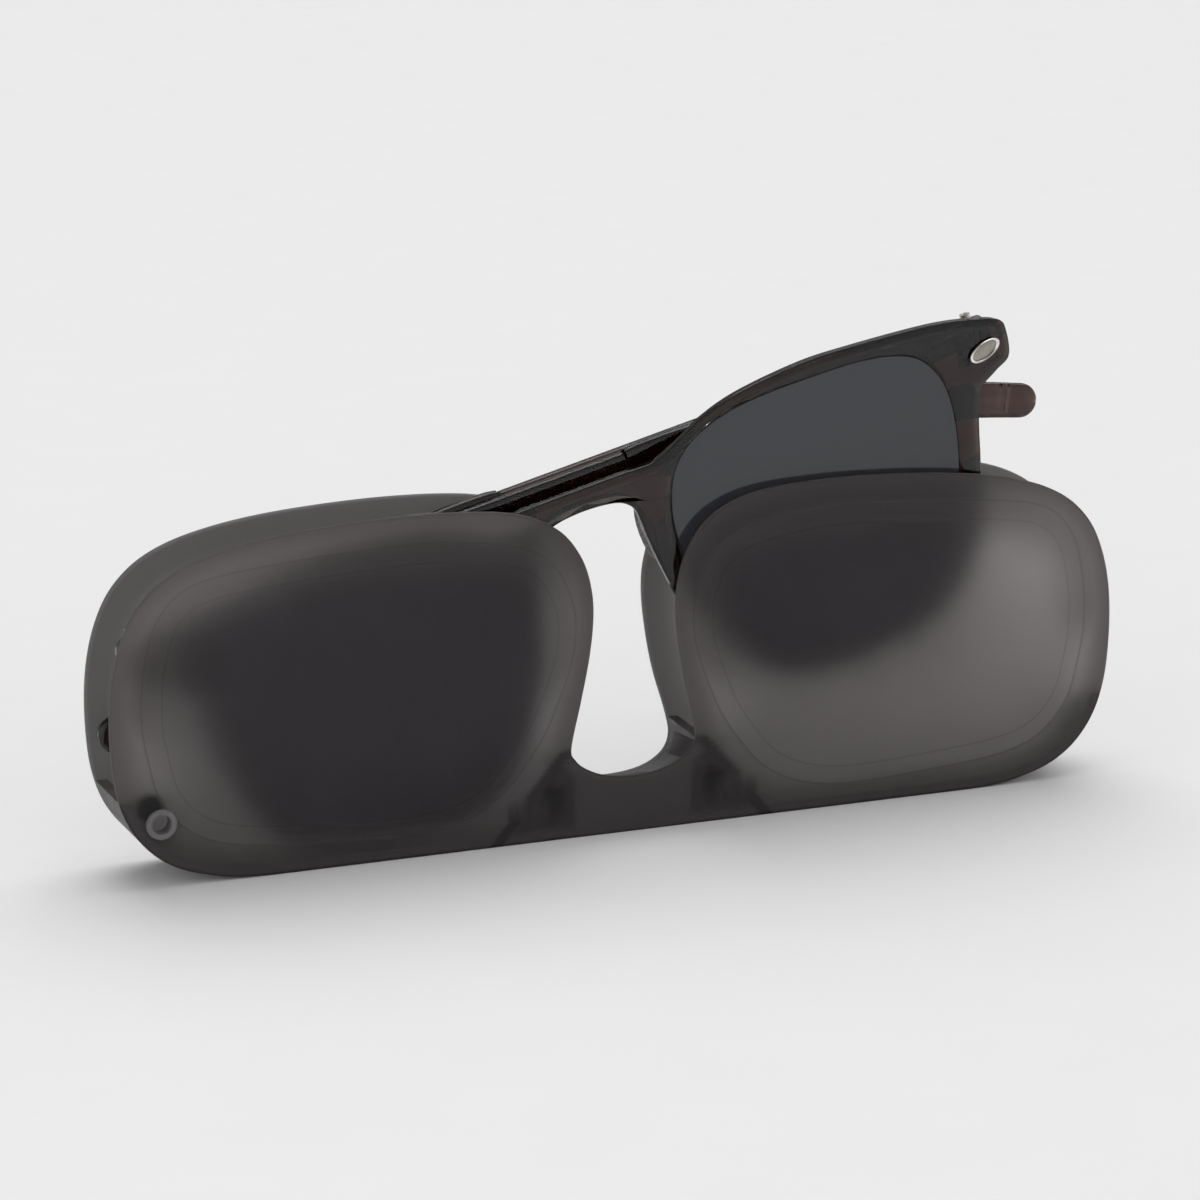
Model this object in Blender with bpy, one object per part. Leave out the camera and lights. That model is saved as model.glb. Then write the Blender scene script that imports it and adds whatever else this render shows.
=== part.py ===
"""Slim folding sunglasses seated in a soft slip case shaped like a pair of goggles.

Run with: blender --background --python part.py

X runs to the right, the front faces -Y and Z is up. The case stands on its long bottom edge with
its middle over the origin. The sunglasses hang in the case tilted, with their right end raised.
All lengths below are in millimetres, and MM turns them into metres.
"""

import math

import bmesh
import bpy
from mathutils import Matrix, Vector

MM = 0.001
GAP = 0.3  # clearance kept between pieces that touch

# Case
CASE_DEPTH = 13.4
FRONT_Y = -CASE_DEPTH / 2
BACK_Y = CASE_DEPTH / 2
FLAP_THICKNESS = 1.1
BACK_THICKNESS = 1.2
RIM_THICKNESS = 1.6
FLAP_FOOT_Z = 12.7
FLAP_FOOT_INNER_X = 9.5
FLAP_FOOT_OUTER_X = 74.2
SADDLE_HALF_WIDTH = 8.8
STUD_PLACE = (11.0, 4.4)
STUD_RADIUS = 1.9
RIB_HEAD = (8.9, 10.4)  # where the slanting rib meets the top of the foot, and its two sides in X
RIB_FOOT = (19.3, 20.9)
BOSS_PLACE = (69.2, 11.0)
BOSS_RADIUS = 1.5
EYELET_PLACE = (-68.3, 9.0)
EYELET_RADIUS = 2.1
EYELET_BORE = 1.3
EYELET_DEPTH = 2.0

# Sunglasses, in their own frame: p across, q up, with the middle of the bridge at p = 0
SEAT = (-3.4, 0.0, 33.25)
SEAT_TILT = math.radians(15)
FRAME_FRONT_Y = -4.6
FRAME_BACK_Y = -2.0
LENS_THICKNESS = 1.8
HINGE_P = 64.4
HINGE_Q = 15.8
HINGE_Y = {"left": -0.85, "right": 1.45}
ROOT_PAST_AXIS = {"left": 0.85, "right": 3.1}
KNUCKLE_RADIUS = 0.85
SCREW_BORE = 0.5
SCREW_RADIUS = 0.35
SCREW_HEAD_RADIUS = 0.75
BAR_OFFSET = 1.5  # from the hinge axis to the middle of the temple's thickness
BAR_THICKNESS = 1.9
BAR_HEIGHT = 4.0
SLEEVE_START_P = 9.0
SLEEVE_THICKNESS = 2.1

# Half of the case's outline at its front face, from the middle of the bottom round to the top of
# the nose gap. The back face shares the lobe and has a deeper saddle.
LOBE = [
    (0, 0), (28, 0), (53, 0), (62.5, 1.3), (68.3, 3.9), (72.2, 8.2), (74.3, 13.8), (75, 21),
    (74.7, 28), (73.3, 34), (70.8, 38.8), (66.5, 42.6), (60, 45.2), (50, 47), (36, 47.9),
    (24, 47.7), (16.5, 46.6), (11.2, 44), (8, 40), (6.5, 35.5), (6.2, 31), (6.8, 25.5), (8, 19.5),
]  # fmt: skip
FRONT_SADDLE = [(9.4, 13), (8.8, 11.2), (7.4, 9.9), (5.2, 8.8), (2.6, 8.2), (0, 8)]
BACK_SADDLE = [(10, 13), (10.6, 9.6), (9.6, 7.2), (7.2, 5.6), (4, 4.8), (0, 4.6)]

# Right half of the front frame's outline, from the bridge's top round to its underside.
FRAME_OUTLINE = [
    (0, 16.4), (7, 16.4), (11.6, 16.4), (15.8, 18), (20, 20), (26, 21.6), (35.5, 22.5), (43, 22.3),
    (56, 21.2), (63, 19.8), (66.9, 18.4), (67.7, 16.4), (67.3, 12.8), (64.8, 11.3), (61.8, 9.3),
    (60.6, 5), (59.2, -2), (56.5, -10), (52, -16.2), (45, -20), (36, -21.3), (27, -20.8),
    (19.5, -18), (14, -12.2), (10.6, -4.6), (9, 1.3), (8, 6.5), (7.6, 9.4), (7, 11.2),
    (4.8, 12.6), (0, 13.1),
]  # fmt: skip
LENS_OUTLINE = [
    (12.3, 4), (12.6, 9.6), (14.6, 14.6), (19, 17.9), (26, 19.7), (36, 20), (46, 19.5),
    (52.6, 17.6), (55.9, 13.8), (57, 8.5), (56.3, 1), (54, -7), (49.6, -13.8), (43, -17.4),
    (35, -18.7), (27, -18.2), (20.4, -15.4), (15.8, -9.6), (13.2, -2.6),
]  # fmt: skip
SLEEVE_LINE = [(9.3, 15.8), (22, 15.7), (36, 14.2), (50, 10.7), (62, 6.9), (69.6, 4.2)]
SLEEVE_HEIGHTS = [4.3, 4.4, 4.6, 5.0, 5.2, 5.0]


def clear_scene():
    for obj in list(bpy.data.objects):
        bpy.data.objects.remove(obj, do_unlink=True)


def new_collection(name):
    made = bpy.data.collections.new(name)
    bpy.context.scene.collection.children.link(made)
    return made


def new_material(name, colour, roughness, metallic=0.0, transmission=0.0):
    made = bpy.data.materials.new(name)
    made.use_nodes = True
    shader = made.node_tree.nodes["Principled BSDF"]
    shader.inputs["Base Color"].default_value = (*colour, 1.0)
    shader.inputs["Roughness"].default_value = roughness
    shader.inputs["Metallic"].default_value = metallic
    shader.inputs["Transmission Weight"].default_value = transmission
    made.diffuse_color = (*colour, 1.0)
    return made


clear_scene()
PARTS = new_collection("sunglasses_in_slip_case")
CUTTERS = new_collection("cutters")
SOFT_GREY = new_material("soft_grey", (0.10, 0.10, 0.11), 0.55, transmission=0.6)
SMOKE_BROWN = new_material("smoke_brown", (0.045, 0.033, 0.03), 0.12, transmission=0.5)
LENS_GREY = new_material("lens_grey", (0.06, 0.062, 0.066), 0.05, transmission=0.4)
PAD_CLEAR = new_material("pad_clear", (0.45, 0.45, 0.44), 0.25, transmission=0.7)
STEEL = new_material("steel", (0.62, 0.61, 0.59), 0.22, metallic=1.0)


def add_object(name, mesh, collection=PARTS):
    obj = bpy.data.objects.new(name, mesh)
    collection.objects.link(obj)
    return obj


def smooth_loop(points, steps=3):
    """A closed loop through the points, smoothed with Catmull-Rom segments."""
    loop = []
    count = len(points)
    for i in range(count):
        a, b, c, d = (Vector(points[(i + k) % count]) for k in (-1, 0, 1, 2))
        for step in range(steps):
            t = step / steps
            pull = (c - a) * t + (2 * a - 5 * b + 4 * c - d) * t**2 + (3 * b - a - 3 * c + d) * t**3
            loop.append(b + 0.5 * pull)
    return loop


def mirrored(half):
    """A closed loop from its right half, which starts and ends on the mirror line."""
    return half + [(-x, z) for x, z in reversed(half[1:-1])]


def case_loop(saddle):
    """The case's whole outline, with its underside kept flat at Z = 0."""
    return [Vector((point.x, max(point.y, 0))) for point in smooth_loop(mirrored(LOBE + saddle))]


def inset_loop(loop, distance):
    """The loop moved inwards, for a loop that runs counterclockwise."""
    moved = []
    for i, point in enumerate(loop):
        along = (loop[(i + 1) % len(loop)] - loop[i - 1]).normalized()
        moved.append(point + distance * Vector((-along.y, along.x)))
    return moved


def to_mesh_object(curve_object, name):
    """A welded mesh object in place of a curve object."""
    bpy.context.view_layer.update()
    graph = bpy.context.evaluated_depsgraph_get()
    mesh = bpy.data.meshes.new_from_object(curve_object.evaluated_get(graph))
    mesh.transform(curve_object.matrix_world)
    edit = bmesh.new()
    edit.from_mesh(mesh)
    bmesh.ops.remove_doubles(edit, verts=edit.verts, dist=1e-7)
    bmesh.ops.recalc_face_normals(edit, faces=edit.faces)
    edit.to_mesh(mesh)
    edit.free()
    bpy.data.objects.remove(curve_object, do_unlink=True)
    mesh.name = name
    return add_object(name, mesh)


def plate(name, loops, front, back, edge=0.0):
    """A flat plate in the XZ plane between two Y values, with its rims rounded by edge."""
    curve = bpy.data.curves.new(name, "CURVE")
    curve.dimensions = "2D"
    curve.fill_mode = "BOTH"
    curve.extrude = ((back - front) / 2 - edge) * MM
    curve.bevel_depth = edge * MM
    curve.bevel_resolution = 1
    curve.offset = -edge * MM
    for loop in loops:
        spline = curve.splines.new("POLY")
        spline.points.add(len(loop) - 1)
        for point, (x, z) in zip(spline.points, loop):
            point.co = (x * MM, z * MM, 0, 1)
        spline.use_cyclic_u = True
    holder = add_object(name + "_curve", curve)
    holder.matrix_world = Matrix.Translation((0, (front + back) / 2 * MM, 0)) @ Matrix.Rotation(
        math.pi / 2, 4, "X"
    )
    return to_mesh_object(holder, name)


def loft(name, front_loop, front, back_loop, back):
    """A cutter or blank between two loops of equal count that stand at two Y values."""
    count = len(front_loop)
    points = [(x * MM, front * MM, z * MM) for x, z in front_loop]
    points += [(x * MM, back * MM, z * MM) for x, z in back_loop]
    faces = [tuple(range(count)), tuple(range(2 * count - 1, count - 1, -1))]
    faces += [(i, i + count, (i + 1) % count + count, (i + 1) % count) for i in range(count)]
    mesh = bpy.data.meshes.new(name)
    mesh.from_pydata(points, [], faces)
    edit = bmesh.new()
    edit.from_mesh(mesh)
    bmesh.ops.recalc_face_normals(edit, faces=edit.faces)
    edit.to_mesh(mesh)
    edit.free()
    return add_object(name, mesh, CUTTERS)


def box(name, low, high, collection=CUTTERS):
    mesh = bpy.data.meshes.new(name)
    edit = bmesh.new()
    middle = [(a + b) / 2 * MM for a, b in zip(low, high)]
    size = [(b - a) * MM for a, b in zip(low, high)]
    place = Matrix.Translation(middle) @ Matrix.Diagonal((*size, 1))
    bmesh.ops.create_cube(edit, size=1, matrix=place)
    edit.to_mesh(mesh)
    edit.free()
    return add_object(name, mesh, collection)


def cylinder(name, place, radius, start, end, axis="Y", collection=CUTTERS, sides=24, taper=1.0):
    """A cylinder along Y or Z. place gives its two other coordinates in X, Y, Z order."""
    mesh = bpy.data.meshes.new(name)
    edit = bmesh.new()
    middle = (start + end) / 2
    if axis == "Y":
        centre, turn = (place[0], middle, place[1]), Matrix.Rotation(-math.pi / 2, 4, "X")
    else:
        centre, turn = (place[0], place[1], middle), Matrix.Identity(4)
    bmesh.ops.create_cone(
        edit,
        cap_ends=True,
        segments=sides,
        radius1=radius * MM,
        radius2=radius * taper * MM,
        depth=(end - start) * MM,
        matrix=Matrix.Translation(Vector(centre) * MM) @ turn,
    )
    edit.to_mesh(mesh)
    edit.free()
    return add_object(name, mesh, collection)


def finish(obj, material):
    obj.data.materials.clear()
    obj.data.materials.append(material)
    obj.data.shade_smooth()
    obj.data.set_sharp_from_angle(angle=math.radians(35))
    return obj


def combine(target, other, operation):
    modifier = target.modifiers.new(operation.lower(), "BOOLEAN")
    modifier.operation = operation
    modifier.object = other
    other.hide_render = True
    other.display_type = "WIRE"


# ---------------------------------------------------------------- case


def case_back_wall():
    loop = case_loop(BACK_SADDLE)
    wall = plate("case_back_wall", [loop], BACK_Y - BACK_THICKNESS, BACK_Y)
    return finish(wall, SOFT_GREY)


def case_base():
    """The closed foot of both pockets, with the solid saddle under the nose gap."""
    front = case_loop(FRONT_SADDLE)
    back = case_loop(BACK_SADDLE)
    inner_back = BACK_Y - BACK_THICKNESS - GAP
    base = loft("case_base", front, FRONT_Y, back, inner_back)
    CUTTERS.objects.unlink(base)
    PARTS.objects.link(base)
    top = box("above_foot", (-90, -20, FLAP_FOOT_Z - GAP), (90, 20, 90))
    combine(base, top, "DIFFERENCE")
    inner = FRONT_Y + FLAP_THICKNESS
    for side in (-1, 1):
        hollow = loft(
            f"hollow_{side}",
            inset_loop(front, RIM_THICKNESS),
            inner,
            inset_loop(back, RIM_THICKNESS),
            inner_back + 3,
        )
        low, high = sorted((side * SADDLE_HALF_WIDTH, side * 90))
        keep = box(f"keep_{side}", (low, -20, -5), (high, 20, 60))
        combine(hollow, keep, "INTERSECT")
        combine(hollow, pocket_rib(side, inner, inner_back), "DIFFERENCE")
        combine(base, hollow, "DIFFERENCE")
    hole = cylinder("eyelet_hole", EYELET_PLACE, EYELET_RADIUS + GAP, FRONT_Y - 3, inner + 1)
    combine(base, hole, "DIFFERENCE")
    return finish(base, SOFT_GREY)


def pocket_rib(side, front, back):
    """The slanting wall between a pocket and the cell that holds its stud."""
    top = FLAP_FOOT_Z + 1
    loop = [(RIB_HEAD[0], top), (RIB_FOOT[0], 0), (RIB_FOOT[1], 0), (RIB_HEAD[1], top)]
    loop = [(side * x, z) for x, z in loop]
    return loft(f"rib_{side}", loop, front - 1, loop, back + 4)


def lanyard_eyelet():
    front = FRONT_Y
    ring = cylinder("lanyard_eyelet", EYELET_PLACE, EYELET_RADIUS, front, front + EYELET_DEPTH, "Y", PARTS)
    bore = cylinder("eyelet_bore", EYELET_PLACE, EYELET_BORE, front - 2, front + 4)
    combine(ring, bore, "DIFFERENCE")
    return finish(ring, SOFT_GREY)


def inner_peg(name, place, radius, start, end):
    """A round peg between the walls of the case."""
    return finish(cylinder(name, place, radius, start, end, "Y", PARTS, taper=0.9), SOFT_GREY)


def front_flap(side, sign):
    """One front wall of a pocket, cut straight along its foot."""
    loop = [point for point in smooth_loop(LOBE + FRONT_SADDLE) if point.y > FLAP_FOOT_Z + 0.4]
    loop = [Vector((FLAP_FOOT_OUTER_X, FLAP_FOOT_Z))] + loop + [Vector((FLAP_FOOT_INNER_X, FLAP_FOOT_Z))]
    loop = [(sign * point.x, point.y) for point in loop]
    flap = plate(f"{side}_front_flap", [loop], FRONT_Y, FRONT_Y + FLAP_THICKNESS)
    return finish(flap, SOFT_GREY)


# ---------------------------------------------------------------- sunglasses


def front_frame():
    outline = smooth_loop(mirrored(FRAME_OUTLINE), 2)
    eye = smooth_loop(LENS_OUTLINE)
    other_eye = [(-x, z) for x, z in eye]
    frame = plate(
        "front_frame", [outline, eye, other_eye], FRAME_FRONT_Y, FRAME_BACK_Y, edge=0.3
    )
    return finish(frame, SMOKE_BROWN)


def lens(side, sign):
    eye = inset_loop(smooth_loop(LENS_OUTLINE), -GAP)
    middle = (FRAME_FRONT_Y + FRAME_BACK_Y) / 2
    loop = [(sign * point.x, point.y) for point in eye]
    half = LENS_THICKNESS / 2
    return finish(plate(f"{side}_lens", [loop], middle - half, middle + half), LENS_GREY)


def nose_pad(side, sign):
    """A small soft oval behind the rim beside the bridge."""
    mesh = bpy.data.meshes.new(f"{side}_nose_pad")
    edit = bmesh.new()
    bmesh.ops.create_uvsphere(edit, u_segments=16, v_segments=10, radius=1)
    place = (
        Matrix.Translation(Vector((sign * 9.2, -0.95, 6.2)) * MM)
        @ Matrix.Rotation(sign * math.radians(-6), 4, "Y")
        @ Matrix.Diagonal((1.2 * MM, 0.7 * MM, 4.6 * MM, 1))
    )
    bmesh.ops.transform(edit, matrix=place, verts=edit.verts)
    edit.to_mesh(mesh)
    edit.free()
    return finish(add_object(f"{side}_nose_pad", mesh), PAD_CLEAR)


def rivet_plaque(side, sign):
    """A thin oval badge on the front of the endpiece."""
    loop = []
    for step in range(28):
        angle = 2 * math.pi * step / 28
        across, up = 2.5 * math.cos(angle), 1.3 * math.sin(angle)
        loop.append((sign * (63.3 + across), 15.1 + up + 0.24 * across))
    front = FRAME_FRONT_Y - GAP - 0.4
    plaque = plate(f"{side}_rivet_plaque", [loop], front, front + 0.4)
    return finish(plaque, STEEL)


def knuckle(name, sign, y, low, high, collection=CUTTERS):
    return cylinder(name, (sign * HINGE_P, y), KNUCKLE_RADIUS, low, high, "Z", collection, 20)


def front_hinge(side, sign):
    """Two knuckles on a leaf that is fixed to the back of the endpiece."""
    y = HINGE_Y[side]
    leaf_y = FRAME_BACK_Y + GAP
    low, high = sorted((sign * (HINGE_P - 4.2), sign * HINGE_P))
    hinge = box(
        f"{side}_front_hinge",
        (low, leaf_y, HINGE_Q - 2.9),
        (high, leaf_y + 0.4, HINGE_Q + 2.9),
        PARTS,
    )
    for end, (bottom, top) in {"lower": (-2.7, -1.1), "upper": (1.1, 2.7)}.items():
        web_low, web_high = sorted((sign * (HINGE_P - 0.6), sign * (HINGE_P + 0.35)))
        web = box(
            f"{side}_{end}_web",
            (web_low, leaf_y + 0.1, HINGE_Q + bottom),
            (web_high, y, HINGE_Q + top),
        )
        combine(hinge, web, "UNION")
        barrel = knuckle(f"{side}_{end}_barrel", sign, y, HINGE_Q + bottom, HINGE_Q + top)
        combine(hinge, barrel, "UNION")
    reach = KNUCKLE_RADIUS + GAP
    notch_low, notch_high = sorted((sign * (HINGE_P - reach), sign * (HINGE_P + reach)))
    notch = box(
        f"{side}_hinge_notch",
        (notch_low, FRAME_BACK_Y - 1, HINGE_Q - 1.3),
        (notch_high, y + 3, HINGE_Q + 1.3),
    )
    combine(hinge, notch, "DIFFERENCE")
    bore = cylinder(f"{side}_front_bore", (sign * HINGE_P, y), SCREW_BORE, 8, 24, "Z", sides=16)
    combine(hinge, bore, "DIFFERENCE")
    return finish(hinge, STEEL)


def hinge_screw(side, sign):
    y = HINGE_Y[side]
    place = (sign * HINGE_P, y)
    screw = cylinder(
        f"{side}_hinge_screw", place, SCREW_RADIUS, HINGE_Q - 2.6, HINGE_Q + 3.1, "Z", PARTS, 16
    )
    head = cylinder(
        f"{side}_screw_head", place, SCREW_HEAD_RADIUS, HINGE_Q + 2.85, HINGE_Q + 3.25, "Z", sides=16
    )
    combine(screw, head, "UNION")
    slot = box(
        f"{side}_screw_slot",
        (place[0] - 0.12, y - 2, HINGE_Q + 3.1),
        (place[0] + 0.12, y + 2, HINGE_Q + 4),
    )
    combine(screw, slot, "DIFFERENCE")
    return finish(screw, STEEL)


def temple_hinge(side, sign):
    """The middle knuckle with the leaf that runs along the inside of the temple bar."""
    y = HINGE_Y[side]
    leaf_back = y + BAR_OFFSET - BAR_THICKNESS / 2 - GAP
    low, high = sorted((sign * (HINGE_P - 7.5), sign * HINGE_P))
    hinge = box(
        f"{side}_temple_hinge",
        (low, leaf_back - 0.5, HINGE_Q - 1.0),
        (high, leaf_back, HINGE_Q + 1.0),
        PARTS,
    )
    barrel = knuckle(f"{side}_middle_barrel", sign, y, HINGE_Q - 1.0, HINGE_Q + 1.0)
    combine(hinge, barrel, "UNION")
    bore = cylinder(f"{side}_temple_bore", (sign * HINGE_P, y), SCREW_BORE, 8, 24, "Z", sides=16)
    combine(hinge, bore, "DIFFERENCE")
    return finish(hinge, STEEL)


def temple_bar(side, sign):
    """The stiff front half of a temple, folded flat behind the lenses."""
    y = HINGE_Y[side] + BAR_OFFSET
    root = HINGE_P + ROOT_PAST_AXIS[side]
    half = BAR_HEIGHT / 2
    start, end = sign * root, -sign * SLEEVE_START_P
    loop = [
        (start, HINGE_Q - half),
        (end, HINGE_Q - half),
        (end, HINGE_Q + half),
        (start, HINGE_Q + half),
    ]
    bar = plate(
        f"{side}_temple_bar", [loop], y - BAR_THICKNESS / 2, y + BAR_THICKNESS / 2, edge=0.25
    )
    relief = cylinder(
        f"{side}_relief",
        (sign * HINGE_P, HINGE_Y[side]),
        KNUCKLE_RADIUS + GAP,
        HINGE_Q - 5,
        HINGE_Q + 5,
        "Z",
    )
    combine(bar, relief, "DIFFERENCE")
    return finish(bar, SMOKE_BROWN)


def temple_sleeve(side, sign):
    """The thicker rear half of a temple, which droops to sit behind the ear."""
    upper, lower = [], []
    for i, ((p, q), height) in enumerate(zip(SLEEVE_LINE, SLEEVE_HEIGHTS)):
        before = Vector(SLEEVE_LINE[max(i - 1, 0)])
        after = Vector(SLEEVE_LINE[min(i + 1, len(SLEEVE_LINE) - 1)])
        along = (after - before).normalized()
        side_step = Vector((-along.y, along.x)) * height / 2
        upper.append(Vector((p, q)) + side_step)
        lower.append(Vector((p, q)) - side_step)
    middle = Vector(SLEEVE_LINE[-1])
    cap = []
    turn = math.atan2(*(upper[-1] - middle).yx)
    radius = SLEEVE_HEIGHTS[-1] / 2
    for step in range(1, 8):
        angle = turn - math.pi * step / 8
        cap.append(middle + radius * Vector((math.cos(angle), math.sin(angle))))
    ends = [lower[0], upper[0]]
    loop = smooth_loop([ends[1]] + upper[1:] + cap + lower[:0:-1] + [ends[0]], 2)
    start = SLEEVE_LINE[0][0]
    loop = [(-sign * max(point.x, start), point.y) for point in loop]
    y = HINGE_Y[side] + BAR_OFFSET
    half = SLEEVE_THICKNESS / 2
    sleeve = plate(f"{side}_temple_sleeve", [loop], y - half, y + half, edge=0.3)
    return finish(sleeve, SMOKE_BROWN)


def under(parent, pieces):
    """Hangs the pieces, and any cutters they use, from the parent, keeping their own axes."""
    for piece in pieces:
        piece.parent = parent
        for modifier in piece.modifiers:
            modifier.object.parent = parent


def axis_empty(name, place):
    empty = bpy.data.objects.new(name, None)
    PARTS.objects.link(empty)
    empty.location = Vector(place) * MM
    return empty


def on_axis(obj, place):
    """Moves a piece's origin onto its joint's axis and leaves its shape where it is."""
    shift = Vector(place) * MM
    obj.data.transform(Matrix.Translation(-shift))
    obj.location = shift


def build_case():
    case_back_wall()
    case_base()
    lanyard_eyelet()
    for side, sign in (("left", -1), ("right", 1)):
        stud = (sign * STUD_PLACE[0], STUD_PLACE[1])
        inner_peg(f"{side}_inner_stud", stud, STUD_RADIUS, FRONT_Y + FLAP_THICKNESS + GAP, FRONT_Y + 5.2)
        boss = (sign * BOSS_PLACE[0], BOSS_PLACE[1])
        behind_eyelet = FRONT_Y + EYELET_DEPTH + GAP
        inner_peg(f"{side}_slit_boss", boss, BOSS_RADIUS, behind_eyelet, BACK_Y - BACK_THICKNESS - GAP)
        flap = front_flap(side, sign)
        on_axis(flap, (0, FRONT_Y + FLAP_THICKNESS / 2, FLAP_FOOT_Z))


def build_sunglasses():
    seat = axis_empty("glasses_seat", SEAT)
    seat.rotation_euler = (0, -SEAT_TILT, 0)
    under(seat, [front_frame()])
    for side, sign in (("left", -1), ("right", 1)):
        pieces = [
            lens(side, sign),
            nose_pad(side, sign),
            rivet_plaque(side, sign),
            front_hinge(side, sign),
            hinge_screw(side, sign),
        ]
        under(seat, pieces)
        place = (sign * HINGE_P, HINGE_Y[side], HINGE_Q)
        axis = axis_empty(f"{side}_temple_axis", place)
        axis.parent = seat
        arms = [temple_hinge(side, sign), temple_bar(side, sign), temple_sleeve(side, sign)]
        under(axis, arms)
        for piece in arms:
            piece.location = -Vector(place) * MM
            for modifier in piece.modifiers:
                modifier.object.location = -Vector(place) * MM


build_case()
build_sunglasses()
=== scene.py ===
import math

import bmesh
import bpy
import numpy as np
from bpy.props import FloatProperty, FloatVectorProperty, PointerProperty
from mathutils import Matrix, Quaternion, Vector


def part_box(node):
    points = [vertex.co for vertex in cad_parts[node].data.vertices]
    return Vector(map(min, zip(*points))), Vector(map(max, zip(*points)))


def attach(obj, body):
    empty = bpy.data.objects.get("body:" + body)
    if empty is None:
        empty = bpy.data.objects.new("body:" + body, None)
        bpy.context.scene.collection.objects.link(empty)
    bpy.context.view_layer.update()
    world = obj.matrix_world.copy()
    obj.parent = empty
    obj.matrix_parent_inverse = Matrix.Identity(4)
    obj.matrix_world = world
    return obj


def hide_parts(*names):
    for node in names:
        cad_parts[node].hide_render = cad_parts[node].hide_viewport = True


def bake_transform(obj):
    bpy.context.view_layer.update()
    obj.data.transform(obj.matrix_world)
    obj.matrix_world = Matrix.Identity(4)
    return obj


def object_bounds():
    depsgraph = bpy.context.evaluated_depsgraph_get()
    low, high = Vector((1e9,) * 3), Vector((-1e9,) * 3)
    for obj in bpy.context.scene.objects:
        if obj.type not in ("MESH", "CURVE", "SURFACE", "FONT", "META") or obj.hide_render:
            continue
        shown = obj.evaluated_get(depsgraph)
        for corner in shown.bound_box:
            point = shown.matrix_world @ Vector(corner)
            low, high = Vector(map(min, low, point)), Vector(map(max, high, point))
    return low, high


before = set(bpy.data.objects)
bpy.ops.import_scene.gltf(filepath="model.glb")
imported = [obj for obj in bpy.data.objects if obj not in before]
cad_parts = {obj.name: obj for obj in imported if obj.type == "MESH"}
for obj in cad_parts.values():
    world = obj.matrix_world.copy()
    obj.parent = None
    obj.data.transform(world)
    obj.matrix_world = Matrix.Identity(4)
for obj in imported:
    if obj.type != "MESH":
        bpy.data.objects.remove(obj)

bl_info = {
    "name": "Sunglasses in a slip case",
    "version": (1, 0, 0),
    "blender": (4, 5, 0),
    "location": "View3D > Sidebar > Slip case",
    "description": "Builds a frosted slip case with a pair of folded sunglasses standing in it",
    "category": "Add Mesh",
}

CAD_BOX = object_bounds()
MM = 0.001

# ---------------------------------------------------------------- shared sizes, in millimetres

FRONT_Y, BACK_Y = CAD_BOX[0].y / MM, CAD_BOX[1].y / MM
INNER_FACE_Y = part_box("left_front_flap")[1].y / MM
FLAP_FOOT_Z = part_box("left_front_flap")[0].z / MM
LOBE_MIDDLE = (36.0, 6.0)  # every edge of half the case can be seen from here
LOBE = [
    (0, 0), (28, 0), (53, 0), (62.5, 1.3), (68.3, 3.9), (72.2, 8.2), (74.3, 13.8), (75, 21),
    (74.7, 28), (73.3, 34), (70.8, 38.8), (66.5, 42.6), (60, 45.2), (50, 47), (36, 47.9),
    (24, 47.7), (16.5, 46.6), (11.2, 44), (8, 40), (6.5, 35.5), (6.2, 31), (6.8, 25.5), (8, 19.5),
]  # fmt: skip
FRONT_SADDLE = [(9.4, 13), (8.8, 11.2), (7.4, 9.9), (5.2, 8.8), (2.6, 8.2), (0, 8)]
BACK_SADDLE = [(10, 13), (10.6, 9.6), (9.6, 7.2), (7.2, 5.6), (4, 4.8), (0, 4.6)]
PILLOW = [
    (26.8, 42), (38, 42), (49.7, 41.3), (61.5, 39.8), (66.2, 36.5), (68.2, 30.9), (68.8, 24.3),
    (68.2, 19), (66, 12), (59.6, 7.3), (44.9, 5.6), (30.6, 5.3), (21.9, 8.2), (16.2, 14.6),
    (13.3, 20.2), (10.9, 27.5), (11.4, 34), (15.6, 39.6),
]  # fmt: skip

SEAT, SEAT_TILT = (-3.4, 33.25), math.radians(15)
FRAME_FRONT_Y, FRAME_BACK_Y = -4.6, -2.0
FRAME_OUTLINE = [
    (0, 16.4), (7, 16.4), (11.6, 16.4), (15.8, 18), (20, 20), (26, 21.6), (35.5, 22.5), (43, 22.3),
    (56, 21.2), (63, 19.8), (66.9, 18.4), (67.7, 16.4), (67.3, 12.8), (64.8, 11.3), (61.8, 9.3),
    (60.6, 5), (59.2, -2), (56.5, -10), (52, -16.2), (45, -20), (36, -21.3), (27, -20.8),
    (19.5, -18), (14, -12.2), (10.6, -4.6), (9, 1.3), (8, 6.5), (7.6, 9.4), (7, 11.2),
    (4.8, 12.6), (0, 13.1),
]  # fmt: skip
LENS_OUTLINE = [
    (12.3, 4), (12.6, 9.6), (14.6, 14.6), (19, 17.9), (26, 19.7), (36, 20), (46, 19.5),
    (52.6, 17.6), (55.9, 13.8), (57, 8.5), (56.3, 1), (54, -7), (49.6, -13.8), (43, -17.4),
    (35, -18.7), (27, -18.2), (20.4, -15.4), (15.8, -9.6), (13.2, -2.6),
]  # fmt: skip
SLEEVE_LINE = [(9.3, 15.8), (22, 15.7), (36, 14.2), (50, 10.7), (62, 6.9), (69.6, 4.2)]
SLEEVE_HEIGHTS = [4.3, 4.4, 4.6, 5.0, 5.2, 5.0]
HINGE_P, HINGE_Q = 64.4, 15.8
PLAQUE_MIDDLE = (63.3, 15.1)
PLAQUE_HALF = (2.5, 1.3)
PLAQUE_LEAN = 0.24
PEWTER_SHARE = 0.78  # of a plaque's radius
ROOT_PAST_AXIS = {"left": 0.85, "right": 3.1}
BAR_END_P = -8.9  # the far end of each bar, past the middle of the front
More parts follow.
